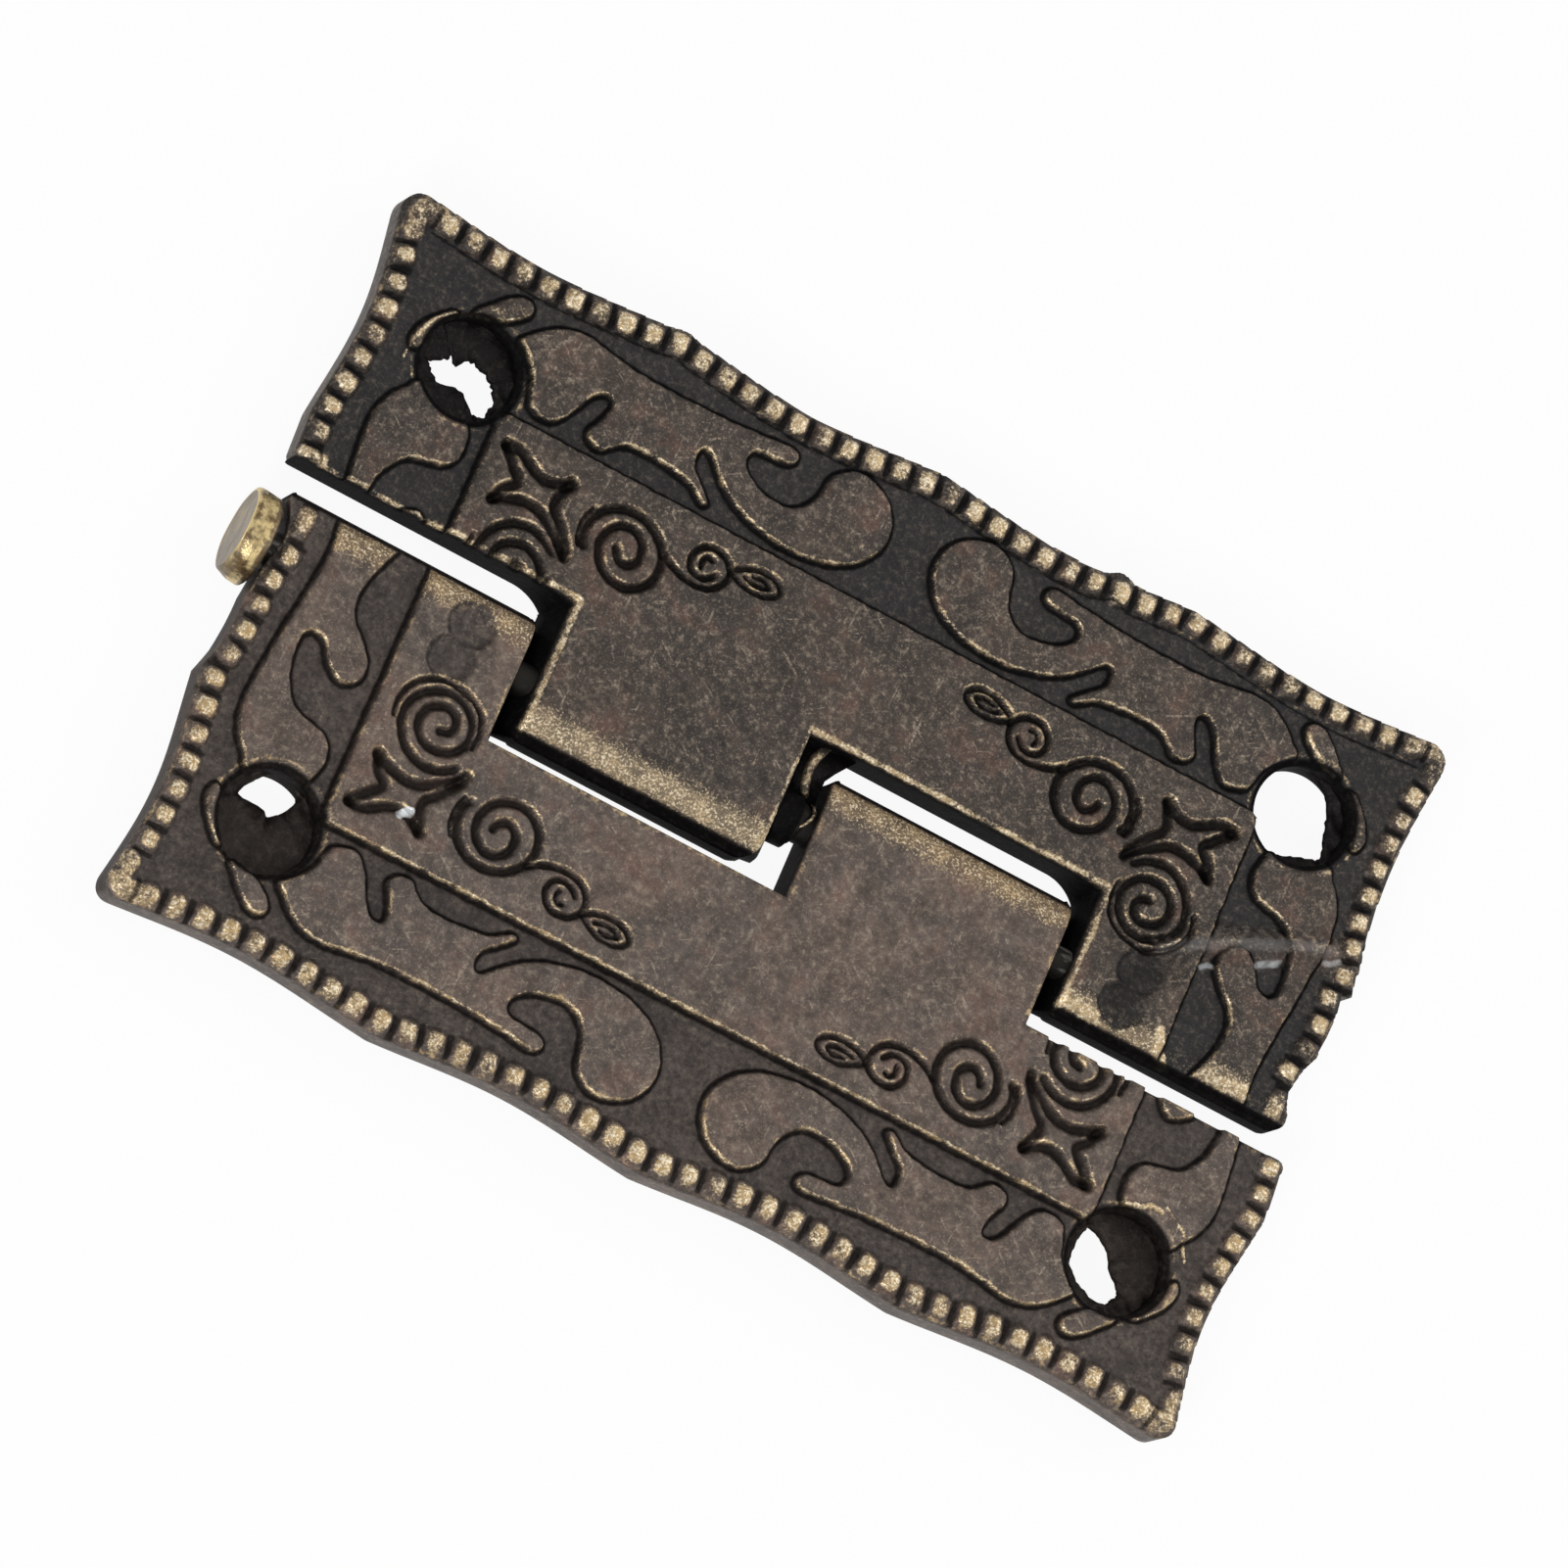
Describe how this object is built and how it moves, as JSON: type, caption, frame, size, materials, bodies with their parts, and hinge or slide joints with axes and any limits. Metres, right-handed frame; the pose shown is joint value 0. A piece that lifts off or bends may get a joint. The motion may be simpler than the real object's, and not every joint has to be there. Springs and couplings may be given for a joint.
{
  "type": "decorative box hinge",
  "caption": "Flat cast hinge for a small box, with interleaved knuckles on a headed pin, a beaded scalloped border, scroll relief and a raised panel with engraved volutes.",
  "frame": {"origin": "middle of the four screw holes on the back plane, below the pin axis, with the leaves laid flat", "axes": "+X along the pin away from its head, +Y from the lower leaf to the upper leaf, +Z out of the decorated face"},
  "size_m": [0.0537, 0.0342, 0.0042],
  "materials": {
    "leaf_bronze": "dark antique bronze plating, worn to brass on the beads and raised edges",
    "pin_brass": "tumbled brass, slightly dulled"
  },
  "bodies": {
    "lower": {"lower_leaf": "leaf_bronze", "hinge_pin": "pin_brass"},
    "upper": {"upper_leaf": "leaf_bronze"}
  },
  "joints": [
    {"name": "leaf_hinge", "type": "hinge", "parent": "lower", "child": "upper", "pos_m": [0, 0, 0.0012], "axis": [1, 0, 0], "range_deg": [-140, 135]}
  ]
}
